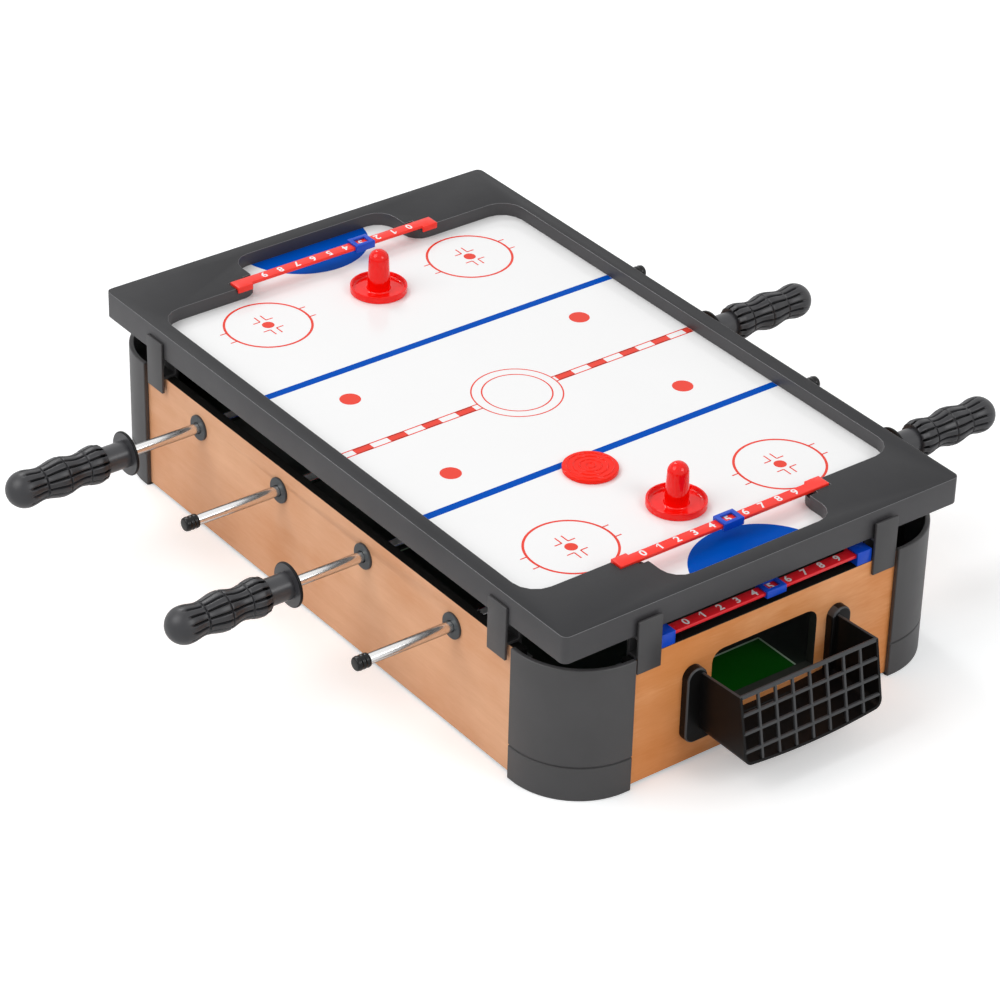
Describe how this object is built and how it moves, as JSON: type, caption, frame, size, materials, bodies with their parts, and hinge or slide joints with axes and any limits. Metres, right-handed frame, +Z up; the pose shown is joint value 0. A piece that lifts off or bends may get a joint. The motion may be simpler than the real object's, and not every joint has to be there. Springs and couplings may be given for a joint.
{
  "type": "tabletop air hockey game",
  "caption": "Tabletop game: lift-off hockey board with strikers, puck and scorers on brackets over a football case with sliding, turning rods, goals and goal baskets.",
  "frame": {"origin": "on the floor, under the middle of the whole", "axes": "+X from goal to goal, +Y along the rods, +Z up"},
  "size_m": [0.6048, 0.5882, 0.1496],
  "materials": {
    "wood_panel": "printed wood-look film, satin",
    "post_plastic": "dark grey, satin",
    "frame_plastic": "dark grey, satin",
    "black_plastic": "near black, satin",
    "rubber": "matte black",
    "steel": "bright plated",
    "pitch": "green printed board",
    "board": "white, lightly glossy",
    "bar_red": "red, lightly glossy",
    "case_bar_red": "red, lightly glossy",
    "scorer_blue": "blue, lightly glossy",
    "game_red": "red, glossy"
  },
  "bodies": {
    "case": {"front_panel": "wood_panel", "rear_panel": "wood_panel", "left_end_panel": "wood_panel", "right_end_panel": "wood_panel", "pitch_board": "pitch", "corner_post_1": "post_plastic", "corner_post_2": "post_plastic", "corner_post_3": "post_plastic", "corner_post_4": "post_plastic", "goal_basket_1": "black_plastic", "goal_basket_2": "black_plastic", "case_scorer_bar_1": "case_bar_red", "case_scorer_bar_2": "case_bar_red", "case_scorer_holder_1": "scorer_blue", "case_scorer_holder_2": "scorer_blue", "case_scorer_holder_3": "scorer_blue", "case_scorer_holder_4": "scorer_blue", "tray_bracket_1": "black_plastic", "tray_bracket_2": "black_plastic", "tray_bracket_3": "black_plastic", "tray_bracket_4": "black_plastic", "tray_bracket_5": "black_plastic", "tray_bracket_6": "black_plastic", "tray_bracket_7": "black_plastic", "tray_bracket_8": "black_plastic", "rod_bushing_1": "black_plastic", "rod_bushing_2": "black_plastic", "rod_bushing_3": "black_plastic", "rod_bushing_4": "black_plastic", "rod_bushing_5": "black_plastic", "rod_bushing_6": "black_plastic", "rod_bushing_7": "black_plastic", "rod_bushing_8": "black_plastic"},
    "tray": {"tray_frame": "frame_plastic", "play_board": "board", "tray_scorer_bar_1": "bar_red", "tray_scorer_bar_2": "bar_red"},
    "shaft_1": {"rod_1": "steel"},
    "spinner_1": {"rod_grip_1": "black_plastic", "rod_cap_1": "rubber", "rod_players_1": "game_red"},
    "shaft_2": {"rod_2": "steel"},
    "spinner_2": {"rod_grip_2": "black_plastic", "rod_cap_2": "rubber", "rod_players_2": "scorer_blue"},
    "shaft_3": {"rod_3": "steel"},
    "spinner_3": {"rod_grip_3": "black_plastic", "rod_cap_3": "rubber", "rod_players_3": "game_red"},
    "shaft_4": {"rod_4": "steel"},
    "spinner_4": {"rod_grip_4": "black_plastic", "rod_cap_4": "rubber", "rod_players_4": "scorer_blue"},
    "case_slider_1": {"case_scorer_slider_1": "scorer_blue"},
    "case_slider_2": {"case_scorer_slider_2": "scorer_blue"},
    "tray_slider_1": {"tray_scorer_slider_1": "scorer_blue"},
    "tray_slider_2": {"tray_scorer_slider_2": "scorer_blue"},
    "striker_1": {"striker_1": "game_red"},
    "striker_2": {"striker_2": "game_red"},
    "puck": {"puck": "game_red"}
  },
  "joints": [
    {"name": "rod_1_slide", "type": "slide", "parent": "case", "child": "shaft_1", "axis": [0, 1, 0], "range_m": [-0.0422, 0.0498]},
    {"name": "rod_1_spin", "type": "hinge", "parent": "shaft_1", "child": "spinner_1", "pos_m": [-0.13995, 0, 0.0756], "axis": [0, 1, 0], "continuous": true},
    {"name": "rod_2_slide", "type": "slide", "parent": "case", "child": "shaft_2", "axis": [0, 1, 0], "range_m": [-0.0422, 0.0498]},
    {"name": "rod_2_spin", "type": "hinge", "parent": "shaft_2", "child": "spinner_2", "pos_m": [-0.04665, 0, 0.0756], "axis": [0, 1, 0], "continuous": true},
    {"name": "rod_3_slide", "type": "slide", "parent": "case", "child": "shaft_3", "axis": [0, 1, 0], "range_m": [-0.0422, 0.0498]},
    {"name": "rod_3_spin", "type": "hinge", "parent": "shaft_3", "child": "spinner_3", "pos_m": [0.04665, 0, 0.0756], "axis": [0, 1, 0], "continuous": true},
    {"name": "rod_4_slide", "type": "slide", "parent": "case", "child": "shaft_4", "axis": [0, 1, 0], "range_m": [-0.0422, 0.0498]},
    {"name": "rod_4_spin", "type": "hinge", "parent": "shaft_4", "child": "spinner_4", "pos_m": [0.13995, 0, 0.0756], "axis": [0, 1, 0], "continuous": true},
    {"name": "case_slider_1_slide", "type": "slide", "parent": "case", "child": "case_slider_1", "axis": [0, 1, 0], "range_m": [-0.06885, 0.05555]},
    {"name": "case_slider_2_slide", "type": "slide", "parent": "case", "child": "case_slider_2", "axis": [0, 1, 0], "range_m": [-0.05555, 0.06885]},
    {"name": "tray_lift", "type": "slide", "parent": "case", "child": "tray", "axis": [0, 0, 1], "range_m": [0, 0.08]},
    {"name": "tray_slider_1_slide", "type": "slide", "parent": "tray", "child": "tray_slider_1", "axis": [0, 1, 0], "range_m": [-0.06665, 0.05775]},
    {"name": "tray_slider_2_slide", "type": "slide", "parent": "tray", "child": "tray_slider_2", "axis": [0, 1, 0], "range_m": [-0.08435, 0.04005]},
    {"name": "striker_1_slide", "type": "slide", "parent": "tray", "child": "striker_1", "axis": [0, 1, 0], "range_m": [-0.1288, 0.1202]},
    {"name": "striker_2_slide", "type": "slide", "parent": "tray", "child": "striker_2", "axis": [0, 1, 0], "range_m": [-0.1238, 0.1252]},
    {"name": "puck_slide", "type": "slide", "parent": "tray", "child": "puck", "axis": [1, 0, 0], "range_m": [-0.222, 0.0235]}
  ]
}
